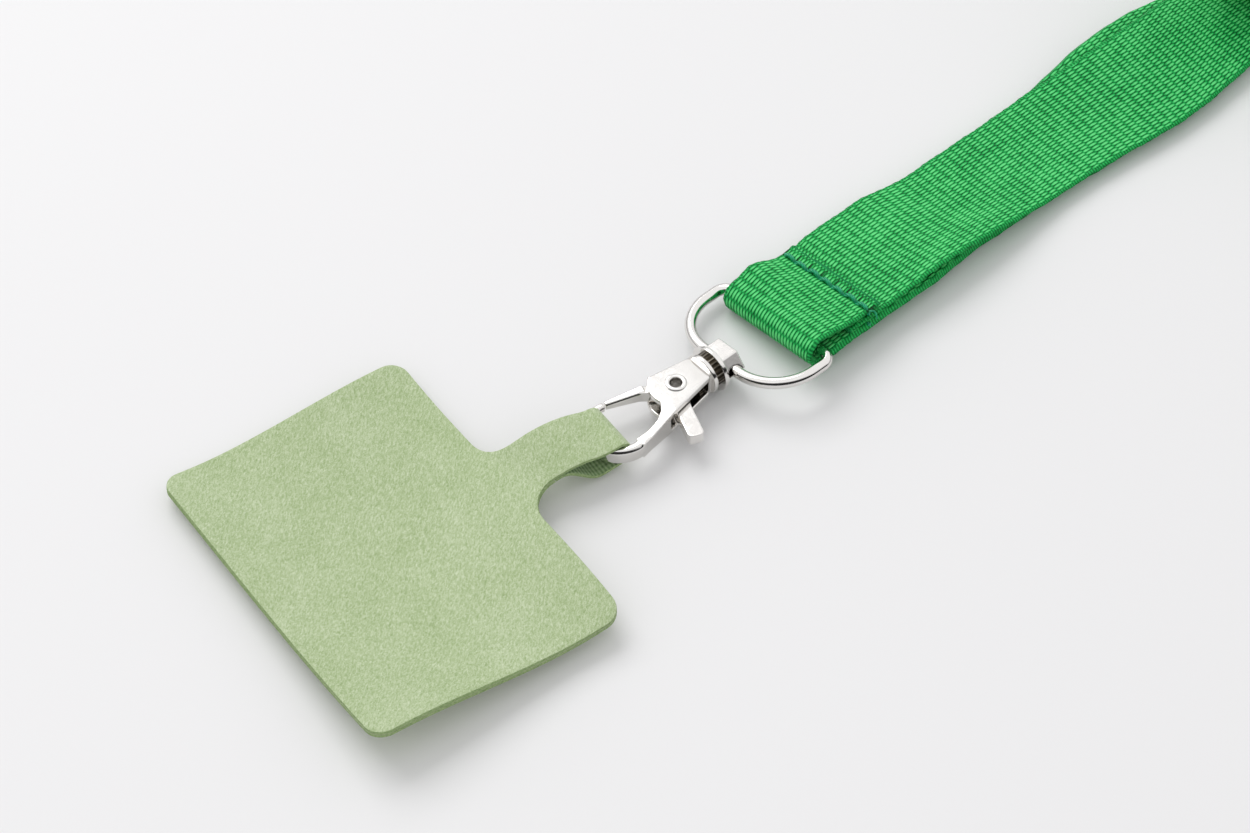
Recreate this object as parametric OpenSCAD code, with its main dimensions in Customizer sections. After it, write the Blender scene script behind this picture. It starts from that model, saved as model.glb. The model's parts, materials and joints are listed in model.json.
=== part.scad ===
// Lanyard badge holder: a two-ply suede patch, looped on a swivel trigger hook that is sewn to a neck strap.
// Origin: centre of the patch's back face. +X: towards the strap, along the swivel's axis. +Z: up.

/* [Strap] */
// Width of the webbing
strap_w = 20; // [19:0.1:20.4]
// Thickness of the webbing
strap_t = 1.3; // [1.1:0.05:1.3]
// Distance from the ring's bar to the row of stitches
stitch_reach = 10.5; // [9:0.1:12]
// Webbing left past the stitches at the sewn end
tail_spare = 2.3; // [1.5:0.1:4]
// Distance from the collar to the middle of the rolled-up neck part
roll_x = 137.5; // [125:0.5:160]
// Radius of the rolled-up neck part
roll_r = 18.5; // [14:0.1:20]
// Tilt of the strap ahead of the roll, left side up
far_tilt = 10; // [0:1:12]
// Sideways drift of the strap ahead of the roll, to the right
far_drift = 2; // [0:0.5:3]

/* [Stitches] */
// Number of stitches in the row
stitch_count = 7; // [6:1:9]
// Diameter of the sewing thread
thread_d = 0.5; // [0.3:0.05:0.6]

/* [Ring and swivel] */
// Height of the swivel's axis above the surface that the holder lies on
axis_z = 4; // [4:0.1:5]
// Diameter of the ring's wire
wire_d = 1.9; // [1.6:0.05:2]
// Distance from the collar to the middle of the ring's straight bar
bar_x = 15.8; // [15.5:0.1:18]
// Width of the ring between the middles of its sides
ring_w = 24.4; // [23:0.1:25]
// Roll of the ring and strap about the swivel's axis, right side up
ring_roll = 7; // [0:0.5:8]
// Diameter of the block's round flange
flange_d = 7.8; // [7:0.1:8]
// Width of the six-sided block behind the flange
block_w = 7.6; // [7:0.1:7.8]
// Height of the six-sided block
block_h = 5; // [4.4:0.1:5.4]

/* [Hook] */
// Diameter of the collar that the stud turns in
collar_d = 6.8; // [6:0.1:7]
// Height of the hook's hollow body
body_h = 4.6; // [4.4:0.1:5]
// Height of the hook's bow
bow_h = 3; // [2.6:0.1:3]
// Outer radius of the bow
bow_r = 5.9; // [5.8:0.05:6.2]
// Width of the bow's bar
bow_w = 1.7; // [1.4:0.05:1.7]
// Distance from the collar to the middle of the bow
bow_x = 17.7; // [17.5:0.1:18.5]
// Distance from the collar to the gate's rivet
rivet_x = 6.1; // [6:0.05:6.3]
// Diameter of the rivet's shank
rivet_d = 2.7; // [2.4:0.05:2.7]

/* [Patch] */
// Width of the patch, across the tab
patch_w = 62; // [50:0.5:70]
// Length of the patch, along the tab
patch_l = 43; // [35:0.5:60]
// Radius of the patch's corners
patch_r = 3; // [2:0.1:6]
// Thickness of one ply of suede
ply_t = 0.55; // [0.5:0.05:0.7]
// Width of the tab's loop
tab_w = 8; // [6:0.1:8]
// Distance from the middle of the bow to the patch's edge
tab_reach = 19.5; // [18:0.5:24]
// Turn of the patch about the middle of the bow
patch_turn = 7; // [0:1:10]

/* [Hidden] */
$fn = 48;

// Where the hook's frame and the tab's frame sit
patch_mid = tab_reach + patch_l / 2;
bow_y = 0.4;
bow_pos = [patch_mid * cos(patch_turn), -patch_mid * sin(patch_turn)];
hook_pos = bow_pos + [bow_x, -bow_y];

// Strap: heights of the webbing's middle over its own thickness
half_t = strap_t / 2;
ply_gap = 0.08;
layer = strap_t + ply_gap;
wire_r = wire_d / 2;
bar_gap = 0.5;
wrap_r = wire_r + bar_gap + half_t;
stitch_x = bar_x + stitch_reach;
tail_end = stitch_x + tail_spare;
upper_start = bar_x + 6.5;
flat_x = stitch_x + 45;
far_from = 74;
edge_lift = 0.3;
floor_gap = 0.05;

// Hook
body_half = body_h / 2;
bow_half = bow_h / 2;
plate_t = 1;
cavity_half = body_half - plate_t;
side_wall = 0.8;
end_wall = 1.6;
collar_t = 0.8;
jaw_r = 4.5;
flare = 1.2;
neck_half = 2.6;
neck_low = 1.9;
body_from = -1.5;
flare_x = 8.6;
running = 0.05;
bow_in = bow_r - bow_w;
nose_turn = 75;
nose_length = 45;
nose_d = 1.5;
spine_step = 0.05;

// Gate
boss_r = 2.1;
gate_bore_r = rivet_d / 2 + running;
web_h = 2;
arm_w = 1.7;
arm_h = 2.3;
arm_taper = 0.6;
lever_w = 2.6;
lever_r = 0.8;
lever_tip = [-9.75, -8.45];
arm_root = [-9.9, 3.3];
arm_tip = [-15.9, 5.25];
spring_wire = 0.3;
spring_r = 1.66;
spring_turns = 2.25;
spring_z = axis_z - cavity_half + 0.17;
boss_z = axis_z - 0.2;

// Swivel
flange_x = 1.8;
flange_t = 0.8;
block_end = 5.2;
block_flat = 4.1;
bow_front = 3.6;
side_arc = 8.2;
corner_arc = 2;
stud_r = 1.2;
shoulder_r = 2.9;
head_r = 1.7;

// Tab: the loop that the suede makes round the bow
loop_gap = 0.25;
loop_half = bow_half + loop_gap;
fold_r = loop_half + ply_t;
fold_x = -2.7;
crest_x = -6.4;
flex_x = -13.6;
flex_gap = 1;
root_rise = 3.6;
ramp_end = flex_x - 1.5;
film_t = 0.1;
patch_t = 2 * ply_t + film_t;

function mix(a, b, k) = a + (b - a) * k;
function ease(k) = let(c = max(0, min(1, k))) c * c * (3 - 2 * c);
function between(x, from, to) = ease((x - from) / (to - from));

// How far the strap has gone over to its tilt ahead of the roll, and the heights of its layers before any tilt
function far(x) = between(x, far_from, roll_x - 38) * (1 - between(x, roll_x - 36, roll_x - 12));
function roll_at(x) = far_tilt * far(x) - ring_roll * (1 - between(x, stitch_x + 4, flat_x));
function under(x) =
    floor_gap + strap_w / 2 * sin(abs(roll_at(x))) + edge_lift * (1 - between(x, stitch_x, flat_x));
function lower_z(x) = mix(axis_z - wrap_r, under(x) + half_t, between(x, bar_x, stitch_x - 1));
function upper_z(x) = under(x) + half_t + layer;
function tail_z(x) = mix(axis_z + wrap_r, under(x) + half_t + 2 * layer, between(x, bar_x, stitch_x - 1));

shared_x = [for (i = [0:48]) mix(roll_x, upper_start, i / 48)];
lower_path = concat(
    [for (x = shared_x) [x, lower_z(x)]],
    [for (i = [1:5]) let(x = mix(upper_start, bar_x + 0.5, i / 5)) [x, lower_z(x)]],
    [for (i = [0:12]) let(a = -90 - 15 * i) [bar_x + wrap_r * cos(a), axis_z + wrap_r * sin(a)]],
    [for (i = [1:12]) let(x = mix(bar_x, tail_end, i / 12)) [x, tail_z(x)]]);
upper_path = [for (x = shared_x) [x, upper_z(x)]];

// One section of webbing: four corners, tilted about the swivel's axis
function path_dir(path, i) =
    let(a = path[max(0, i - 1)], b = path[min(len(path) - 1, i + 1)], d = b - a) d / norm(d);
function rolled(x, y, z) =
    let(r = roll_at(x), h = z - axis_z)
    [x, y * cos(r) - h * sin(r) - far_drift * far(x), axis_z + y * sin(r) + h * cos(r)];
function web_section(path, i) =
    let(p = path[i], d = path_dir(path, i), n = [-d[1], d[0]] * half_t, w = strap_w / 2)
    [for (c = [[-1, -1], [1, -1], [1, 1], [-1, 1]])
        rolled(p[0] + c[1] * n[0], c[0] * w, p[1] + c[1] * n[1])];
// Opposite sides are cut along the same diagonal, so that two layers with the same twist nest
function tube_faces(rings, sides) = concat(
    [[for (j = [0:sides - 1]) j]],
    [for (i = [0:rings - 2], j = [0:sides - 1], half = [0, 1])
        let(a = i * sides + j, b = i * sides + (j + 1) % sides, first = j < sides / 2)
        half == 0 ? [a, a + sides, first ? b + sides : b] : [first ? a : a + sides, b + sides, b]],
    [[for (j = [sides - 1:-1:0]) (rings - 1) * sides + j]]);

module webbing(path) {
    points = [for (i = [0:len(path) - 1]) each web_section(path, i)];
    polyhedron(points, tube_faces(len(path), 4));
}

module in_hook_frame() {
    translate([hook_pos[0], hook_pos[1], 0]) children();
}

// The ring and what is on it: turned by its roll about the swivel's axis
module in_ring_frame() {
    in_hook_frame() translate([0, 0, axis_z]) rotate([-ring_roll, 0, 0]) children();
}

// The tab's frame: origin under the middle of the bow, patch towards -X
module in_tab_frame() {
    translate([bow_pos[0], bow_pos[1], 0]) rotate([0, 0, -patch_turn]) children();
}

module strap_lower_leg() {
    color("mediumseagreen") in_hook_frame() webbing(lower_path);
}

module strap_upper_leg() {
    color("mediumseagreen") in_hook_frame() webbing(upper_path);
}

// The neck part, rolled up: it sits on the two legs that run in under it
module strap_roll() {
    color("seagreen") in_hook_frame() difference() {
        translate([roll_x, strap_w / 2, roll_r + floor_gap])
            rotate([90, 0, 0]) cylinder(r = roll_r, h = strap_w, $fn = 96);
        translate([roll_x - 2 * roll_r, -strap_w, -1])
            cube([2 * roll_r, 2 * strap_w, 1 + floor_gap + 2 * layer + ply_gap]);
    }
}

// A row of stitches across the strap: posts through the layers, bars from post to post.
// side is 1 above the strap and -1 below it
module stitch_row(face_z, side) {
    reach = strap_w - 0.6;
    stitch = reach / stitch_count;
    post_h = 1.5 * strap_t + ply_gap - 0.02;
    for (i = [0:stitch_count]) {
        y = i * stitch - reach / 2;
        translate([0, y, face_z + (side > 0 ? -post_h : 0)]) cylinder(d = thread_d * 0.8, h = post_h, $fn = 16);
        translate([0, y, face_z]) sphere(d = thread_d, $fn = 16);
    }
    for (i = [0:stitch_count - 1]) {
        y = i * stitch - reach / 2;
        translate([0, y, face_z + side * 0.12]) rotate([-90, 0, 0]) cylinder(d = thread_d, h = stitch, $fn = 16);
    }
}

module needle_thread() {
    color("teal") in_ring_frame() translate([stitch_x, 0, -axis_z])
        stitch_row(tail_z(stitch_x) + half_t, 1);
}

module bobbin_thread() {
    color("teal") in_ring_frame() translate([stitch_x, 0, -axis_z])
        stitch_row(lower_z(stitch_x) - half_t, -1);
}

// A quarter turn of wire about a vertical axis
module wire_arc(radius, from) {
    rotate([0, 0, from]) rotate_extrude(angle = 90) translate([radius, 0]) circle(d = wire_d);
}

module wire_rod(from, to) {
    v = to - from;
    translate([from[0], from[1], 0]) rotate([0, 0, atan2(v[1], v[0])]) rotate([0, 90, 0])
        cylinder(d = wire_d, h = norm(v));
}

module d_ring() {
    side = ring_w / 2;
    corner_x = bar_x - corner_arc;
    arc_x = bow_front + side_arc;
    color("gainsboro") in_ring_frame() union() {
        wire_rod([bar_x, corner_arc - side], [bar_x, side - corner_arc]);
        wire_rod([bow_front, side_arc - side], [bow_front, side - side_arc]);
        for (m = [0, 1]) mirror([0, m, 0]) {
            translate([corner_x, side - corner_arc, 0]) wire_arc(corner_arc, 0);
            wire_rod([arc_x, side], [corner_x, side]);
            translate([arc_x, side - side_arc, 0]) wire_arc(side_arc, 90);
        }
    }
}

module swivel_block() {
    half_w = block_w / 2;
    half_h = block_h / 2;
    flat = block_flat / 2;
    color("silver") in_ring_frame() difference() {
        union() {
            translate([flange_x, 0, 0]) rotate([0, 90, 0]) cylinder(d = flange_d, h = flange_t);
            translate([flange_x + flange_t / 2, 0, 0]) rotate([90, 0, 90])
                linear_extrude(block_end - flange_x - flange_t / 2) polygon([
                    [half_w, 0], [flat, half_h], [-flat, half_h], [-half_w, 0], [-flat, -half_h], [flat, -half_h]]);
        }
        translate([bow_front, flange_d, 0]) rotate([90, 0, 0]) cylinder(d = wire_d, h = 2 * flange_d);
        rotate([0, 90, 0]) cylinder(r = stud_r, h = flange_x + 0.6);
    }
}

// Turned about the swivel's axis: head inside the hook, shank through the collar, shoulder, tenon in the block
module swivel_stud() {
    color("dimgray") in_ring_frame() rotate([0, 90, 0]) rotate_extrude() polygon([
        [0, -end_wall - 0.8], [head_r, -end_wall - 0.8], [head_r, -end_wall - 0.1], [stud_r, -end_wall - 0.1],
        [stud_r, 0.1], [shoulder_r, 0.1], [shoulder_r, flange_x], [stud_r, flange_x],
        [stud_r, flange_x + 0.6], [0, flange_x + 0.6]]);
}

// Plan of the hook's hollow body and spine. The jaw is an arc about the rivet
function arc_points(mid, radius, from, to, steps) =
    [for (i = [0:steps]) let(a = mix(from, to, i / steps)) mid + radius * [cos(a), sin(a)]];

module hook_plan() {
    polygon(concat(
        [[-collar_t / 2, neck_low], [body_from, neck_half], [-flare_x, neck_half + flare]],
        arc_points([-rivet_x, 0], jaw_r, 124, 196, 10),
        [[-11.3, -2.35], [-12.9, -3.3], [-15, -3.75], [-bow_x, bow_y - bow_in + spine_step],
         [-bow_x, bow_y - bow_r - spine_step], [body_from, -neck_half - 0.1], [-collar_t / 2, -neck_low]]));
}

// Side view of the same: lower at the collar, full height at the body, thinner at the bow
module hook_side() {
    end_half = bow_half + spine_step;
    polygon([[-collar_t / 2, -neck_low], [body_from, -body_half], [-9.8, -body_half], [-15.6, -end_half],
             [-bow_x, -end_half], [-bow_x, end_half], [-15.6, end_half], [-9.8, body_half],
             [body_from, body_half], [-collar_t / 2, neck_low]]);
}

// Cavity between the two plates: open to the jaw and along the spine side, for the gate and its lever
module cavity_plan() {
    polygon([[-end_wall, neck_half - side_wall + 0.1], [-5.4, neck_half - 0.1], [-7, 6], [-12, 6], [-12, -1],
             [-10.7, -2.6], [-11.4, -7], [-end_wall, -7]]);
}

module bow_section() {
    c = 0.45;
    polygon([[bow_in + c, -bow_half], [bow_r - c, -bow_half], [bow_r, c - bow_half], [bow_r, bow_half - c],
             [bow_r - c, bow_half], [bow_in + c, bow_half], [bow_in, bow_half - c], [bow_in, c - bow_half]]);
}

// The bow's slim end, which the gate closes on: an eight-sided rod
module nose() {
    translate([-bow_x, bow_y, 0]) rotate([0, 0, nose_turn]) rotate_extrude(angle = nose_length + 2)
        translate([bow_r - bow_w / 2, 0]) rotate([0, 0, 22.5]) circle(d = nose_d, $fn = 8);
}

module hook_body() {
    color("gainsboro") in_hook_frame() translate([0, 0, axis_z]) difference() {
        union() {
            intersection() {
                translate([0, 0, -body_half]) linear_extrude(body_h) hook_plan();
                rotate([90, 0, 0]) translate([0, 0, -10]) linear_extrude(20) hook_side();
            }
            translate([-collar_t, 0, 0]) rotate([0, 90, 0]) cylinder(d = collar_d, h = collar_t);
            translate([-bow_x, bow_y, 0]) rotate([0, 0, nose_turn + nose_length])
                rotate_extrude(angle = 272 - nose_turn - nose_length) bow_section();
            nose();
        }
        translate([0, 0, -cavity_half]) linear_extrude(2 * cavity_half) cavity_plan();
        translate([-rivet_x, 0, -10]) cylinder(d = rivet_d, h = 20);
        translate([-5, 0, 0]) rotate([0, 90, 0]) cylinder(r = stud_r + running, h = 10);
        translate([-end_wall - 1, 0, 0]) rotate([0, 90, 0]) cylinder(r = head_r + 0.15, h = 1);
    }
}

// Tubular rivet: shank through both plates, with a rolled flange on each
module gate_rivet() {
    color("silver") in_hook_frame() translate([-rivet_x, 0, axis_z]) rotate_extrude() polygon([
        [0.95, -body_half - 0.25], [1.75, -body_half - 0.25], [1.75, -body_half], [rivet_d / 2, -body_half],
        [rivet_d / 2, body_half], [1.75, body_half], [1.75, body_half + 0.25], [0.95, body_half + 0.25]]);
}

// Round wire along a list of points
module wire_path(points, radius, sides) {
    rings = [for (i = [0:len(points) - 1])
        let(a = points[max(0, i - 1)], b = points[min(len(points) - 1, i + 1)],
            d = (b - a) / norm(b - a), u = cross([0, 0, 1], d) / norm(cross([0, 0, 1], d)), v = cross(d, u))
        each [for (j = [0:sides - 1]) let(t = 360 * j / sides) points[i] + radius * (cos(t) * u + sin(t) * v)]];
    polyhedron(rings, tube_faces(len(points), sides));
}

// Torsion spring: a coil round the rivet, one leg on the side wall and one on the lever
module gate_spring() {
    start = 75;
    steps = 54;
    coil = [for (i = [0:steps])
        let(a = start - 360 * spring_turns * i / steps)
        [spring_r * cos(a), spring_r * sin(a), (spring_wire + 0.02) * spring_turns * i / steps]];
    lead_in = [3.0, coil[0][1] + 0.05, 0];
    lead_out = [0.2, -3.2, coil[steps][2] + 0.1];
    color("slategray") in_hook_frame() translate([-rivet_x, 0, spring_z])
        wire_path(concat([lead_in], coil, [lead_out]), spring_wire / 2, 8);
}

function bar_corners(a, b, w) =
    let(d = (b - a) / norm(b - a), n = [-d[1], d[0]] * w / 2) [a + n, b + n, b - n, a - n];

// A thin slice of the gate's arm: a rectangle with chamfered edges, facing +X
module arm_slice(w, h) {
    c = 0.3;
    rotate([90, 0, 90]) linear_extrude(0.2) polygon([
        [c - w / 2, -h / 2], [w / 2 - c, -h / 2], [w / 2, c - h / 2], [w / 2, h / 2 - c],
        [w / 2 - c, h / 2], [c - w / 2, h / 2], [-w / 2, h / 2 - c], [-w / 2, c - h / 2]]);
}

module gate_arm() {
    v = arm_tip - arm_root;
    turn = atan2(v[1], v[0]);
    hull() {
        translate([arm_root[0], arm_root[1], axis_z]) rotate([0, 0, turn]) arm_slice(arm_w, arm_h);
        translate([arm_tip[0], arm_tip[1], axis_z]) rotate([0, 0, turn])
            arm_slice(arm_w * arm_taper, arm_h * arm_taper);
    }
}

// Plan of the thumb lever: a bar with two rounded corners at its end
module lever_plan(root) {
    d = (lever_tip - root) / norm(lever_tip - root);
    across = [-d[1], d[0]] * (lever_w / 2 - lever_r);
    polygon(bar_corners(root, lever_tip, lever_w));
    polygon(bar_corners(lever_tip - d, lever_tip + lever_r * d, lever_w - 2 * lever_r));
    for (side = [-1, 1]) translate(lever_tip + side * across) circle(r = lever_r);
}

// Gate: boss on the rivet, web through the jaw, the arm, and the thumb lever
module gate() {
    pivot = [-rivet_x, 0];
    color("gainsboro") in_hook_frame() difference() {
        union() {
            translate([pivot[0], 0, boss_z]) cylinder(r = boss_r, h = axis_z + cavity_half - 0.1 - boss_z);
            translate([0, 0, axis_z - web_h / 2]) linear_extrude(web_h)
                polygon(bar_corners(pivot, arm_root + 0.1 * (arm_tip - arm_root), arm_w * 0.9));
            gate_arm();
            translate([0, 0, axis_z - web_h / 2]) linear_extrude(web_h) lever_plan(pivot + [-0.6, -0.8]);
        }
        translate([pivot[0], 0, 0]) cylinder(r = gate_bore_r, h = 10);
        translate([pivot[0], 0, 0]) cylinder(r = boss_r, h = boss_z);
    }
}

// Height of the loop's outer faces, from the bow (crest_x) down to where the plies meet (flex_x)
function loop_top(x) = mix(axis_z + fold_r, root_rise + patch_t, between(x, crest_x, flex_x + flex_gap / 2));
function loop_under(x) = mix(axis_z - fold_r, root_rise, between(x, crest_x, flex_x + 3.5));

module loop_outline(inset, end_x) {
    steps = 16;
    top = [for (i = [0:steps]) let(x = mix(end_x, fold_x, i / steps)) [x, loop_top(x) - inset]];
    fold = [for (i = [1:11]) let(a = 90 - 15 * i)
        [fold_x + (fold_r - inset) * cos(a), axis_z + (fold_r - inset) * sin(a)]];
    under = [for (i = [0:steps]) let(x = mix(fold_x, end_x, i / steps)) [x, loop_under(x) + inset]];
    polygon(concat(top, fold, under));
}

module tab_loop() {
    end_x = flex_x + flex_gap / 2;
    color("darkseagreen") in_tab_frame() translate([0, tab_w / 2, 0]) rotate([90, 0, 0]) linear_extrude(tab_w)
        difference() {
            loop_outline(0, end_x);
            loop_outline(ply_t, end_x + 1.2);
        }
}

// Plan of the patch: a rectangle with round corners
module patch_plan() {
    x0 = -tab_reach - patch_l;
    translate([x0 + patch_r, -patch_w / 2]) square([patch_l - 2 * patch_r, patch_w]);
    translate([x0, patch_r - patch_w / 2]) square([patch_l, patch_w - 2 * patch_r]);
    for (x = [x0 + patch_r, -tab_reach - patch_r], y = [patch_r - patch_w / 2, patch_w / 2 - patch_r])
        translate([x, y]) circle(r = patch_r, $fn = 64);
}

// The tab's root: it rises from the patch's edge to the flex line, where the loop begins
module tab_root(thickness) {
    translate([0, tab_w / 2, 0]) rotate([90, 0, 0]) linear_extrude(tab_w) polygon([
        [-tab_reach - 1, 0], [-tab_reach, 0], [ramp_end, root_rise], [flex_x - flex_gap / 2, root_rise],
        [flex_x - flex_gap / 2, root_rise + thickness], [ramp_end, root_rise + thickness],
        [-tab_reach, thickness], [-tab_reach - 1, thickness]]);
}

module ply(bottom, thickness) {
    in_tab_frame() translate([0, 0, bottom]) {
        linear_extrude(thickness) patch_plan();
        tab_root(thickness);
    }
}

module back_ply() {
    color("darkolivegreen") ply(0, ply_t);
}

module adhesive_film() {
    color("khaki") ply(ply_t, film_t);
}

module front_ply() {
    color("darkseagreen") ply(ply_t + film_t, ply_t);
}

strap_lower_leg();
strap_upper_leg();
strap_roll();
needle_thread();
bobbin_thread();
d_ring();
swivel_block();
swivel_stud();
hook_body();
gate_rivet();
gate_spring();
gate();
tab_loop();
front_ply();
adhesive_film();
back_ply();
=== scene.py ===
"""Looks of the lanyard badge holder: webbing, stitches, nickel hook and suede patch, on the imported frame.
Lengths are in millimetres until a piece is made. The hook's frame has its origin under the collar, +X to the
strap; the tab's frame has its origin under the middle of the bow, -X to the patch."""
import json
import math

import bmesh
import bpy
import numpy as np
from mathutils import Matrix, Vector


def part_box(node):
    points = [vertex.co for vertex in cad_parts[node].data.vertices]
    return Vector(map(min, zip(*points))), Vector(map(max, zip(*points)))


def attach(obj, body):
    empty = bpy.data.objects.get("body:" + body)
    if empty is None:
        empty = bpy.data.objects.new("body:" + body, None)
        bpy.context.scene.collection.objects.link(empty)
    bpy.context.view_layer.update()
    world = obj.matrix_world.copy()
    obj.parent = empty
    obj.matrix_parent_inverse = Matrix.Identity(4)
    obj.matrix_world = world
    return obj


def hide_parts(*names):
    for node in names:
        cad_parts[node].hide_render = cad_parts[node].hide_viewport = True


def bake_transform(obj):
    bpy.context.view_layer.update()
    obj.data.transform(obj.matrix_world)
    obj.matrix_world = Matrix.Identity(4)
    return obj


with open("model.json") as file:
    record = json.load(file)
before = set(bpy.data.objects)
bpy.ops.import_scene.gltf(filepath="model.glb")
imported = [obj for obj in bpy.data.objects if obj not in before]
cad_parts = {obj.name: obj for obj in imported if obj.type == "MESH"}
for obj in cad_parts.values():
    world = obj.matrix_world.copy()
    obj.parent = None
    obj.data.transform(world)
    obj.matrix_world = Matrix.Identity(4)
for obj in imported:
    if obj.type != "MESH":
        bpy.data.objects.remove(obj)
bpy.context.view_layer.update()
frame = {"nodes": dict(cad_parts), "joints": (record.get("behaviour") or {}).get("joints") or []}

MM = 0.001
JOINTS = {joint["name"]: joint for joint in frame["joints"]}


def joint_place(name):
    return np.array(JOINTS[name]["pos_m"]) / MM


# Frames, read from the joints
SWIVEL = joint_place("hook_swivel")
AXIS_Z = SWIVEL[2]
BOW = joint_place("tab_swing")
PATCH_TURN = math.atan2(JOINTS["patch_flex"]["axis"][0], JOINTS["patch_flex"]["axis"][1])
RING_ROLL = -math.atan2(JOINTS["ring_tilt"]["axis"][2], JOINTS["ring_tilt"]["axis"][1])
BAR_X = joint_place("ring_tilt")[0] - SWIVEL[0]
RIVET_X = SWIVEL[0] - joint_place("gate_hinge")[0]
FLEX_X = -float(np.linalg.norm(joint_place("patch_flex")[:2] - BOW[:2]))


def node_size(name, axis):
    low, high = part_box(name)
    return (high[axis] - low[axis]) / MM


# Strap
STRAP_W = node_size("strap_roll", 1)
STRAP_T = 1.3
STRAP_LENGTH = 900
LAYER = STRAP_T + 0.08
WIRE_R = 0.95
WRAP_R = WIRE_R + 0.5 + STRAP_T / 2
STITCH_X = BAR_X + 10.5
TAIL_END = STITCH_X + 2.3
UPPER_START = BAR_X + 6.5
FLAT_X = STITCH_X + 45
FAR_FROM = 74
FAR_TILT = math.radians(10)
FAR_DRIFT = 2
EDGE_LIFT = 0.3
FLOOR_GAP = 0.05
# How the strap strays from a flat run: how far, then where along X it sets in and dies out.
# The fold bulges on its left before the stitches, and the near edge of the upper leg stands off the lower leg
BULGE, BULGE_X = 1.4, ((15.5, 19.5), (19.5, STITCH_X - 0.5))
SLACK, SLACK_X = 1.5, ((31, 46), (52, 74))
# Both legs run out to the left of the tail, and then the lower one's right edge draws in under the upper leg
LEFT_OUT, LEFT_OUT_X = 1.5, ((26, 33), (44, 54))
RIGHT_IN, RIGHT_IN_X = 1.6, ((38, 54), (68, 82))
# The lower leg comes out from under the upper one's left edge in two steps, and goes back before the roll
APART, APART_X, BACK_FROM = (0.9, 2.0), ((60, 80), (80, 100)), 104
# The stitches pull the sewn tail down, and the leg under it, and the tail lifts a little behind them
TAIL_DENT, LEG_DENT, TAIL_LIFT = 0.34, 0.16, 0.2
ROLL_R = node_size("strap_roll", 0) / 2
ROLL_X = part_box("strap_roll")[1][0] / MM - ROLL_R - SWIVEL[0]

# Weave: ribs run across the strap, and each rib is a stack of floats
RIB = 1.6
FLOAT = 2 / 3
YARN = FLOAT / 2
RELIEF = 0.11
# A float's length, as a share of two ribs
FLOAT_SHARE = 0.66
SELVEDGE = 0.75
# How far in from the edge the webbing starts to thin
THIN_EDGE = 0.7

# The barrel's flange is set nearer the collar, and the shift dies out over this span behind it
BARREL_FADE_X = 2.7, 4.4

# Stitches: the row goes from edge to edge, and the thread makes one turn over its twist
STITCHES = 7
STITCH = (STRAP_W - 0.6) / STITCHES
THREAD_R = 0.34
THREAD_TWIST = 2.6
HOLE_DEPTH = 1.0
STITCH_RISE = 0.18

# Patch: its tab leaves the bow level, and drifts to the left on its way to the patch
PATCH_W = 62
PATCH_L = 43
PATCH_R = 3
TAB_REACH = 19.5
TAB_W = 8.8
TAB_TOP = 7.0
TAB_DRIFT = 1.4
TAB_TWIST = 0.13
NECK_R = 5.5
PLY = 0.55
FILM = 0.1
PATCH_T = 2 * PLY + FILM
# The suede folds round the bow, with a little play
BOW_HALF_H = 1.5
FOLD_R = BOW_HALF_H + 0.25 + PLY
FOLD_X = -2.7
# Heights of the patch's curl: a four-by-four control net, far end first, each row from right to left
CURL = np.array([(6.5, 2, 3, 2), (7, -1.5, -1.5, -1.5), (0.5, -2, -2, 3), (3.5, 6.5, -1, 1.5)])


def ease(k):
    k = np.clip(k, 0, 1)
    return k * k * (3 - 2 * k)


def between(x, start, end):
    """0 before start, 1 after end, and a smooth rise from one to the other."""
    return ease((np.asarray(x, float) - start) / (end - start))


def bump_between(x, rise, fall):
    """Grows from 0 to 1 over rise, and back to 0 over fall."""
    return between(x, *rise) * (1 - between(x, *fall))


def mix(a, b, k):
    return a + (b - a) * k


def from_hook(points):
    """Points in the hook's frame, in the part's frame."""
    return np.asarray(points, float) + [SWIVEL[0], SWIVEL[1], 0]


def from_tab(points):
    """Points in the tab's frame, in the part's frame."""
    points = np.asarray(points, float)
    c, s = math.cos(PATCH_TURN), math.sin(PATCH_TURN)
    x = BOW[0] + points[..., 0] * c + points[..., 1] * s
    y = BOW[1] - points[..., 0] * s + points[..., 1] * c
    return np.stack([x, y, points[..., 2]], -1)


def from_ring(points):
    """Points in the ring's frame, which is rolled about the swivel's axis, in the part's frame."""
    points = np.asarray(points, float)
    c, s = math.cos(-RING_ROLL), math.sin(-RING_ROLL)
    y = points[..., 1] * c - points[..., 2] * s
    z = AXIS_Z + points[..., 1] * s + points[..., 2] * c
    return from_hook(np.stack([points[..., 0], y, z], -1))


# Camera, floor and light

def add_camera():
    target = Vector((SWIVEL[0] - 12.94, SWIVEL[1] + 4.13, 0)) * MM
    azimuth, elevation, distance = math.radians(-42), math.radians(50), 0.54
    back = Vector((math.sin(azimuth) * math.cos(elevation), -math.cos(azimuth) * math.cos(elevation),
                   math.sin(elevation)))
    data = bpy.data.cameras.new("camera")
    data.lens = 100
    data.sensor_width = 36
    data.clip_start = 0.01
    camera = bpy.data.objects.new("camera", data)
    camera.location = target + back * distance
    camera.rotation_mode = "QUATERNION"
    camera.rotation_quaternion = (-back).to_track_quat("-Z", "Y")
    bpy.context.scene.collection.objects.link(camera)
    bpy.context.scene.camera = camera


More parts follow.
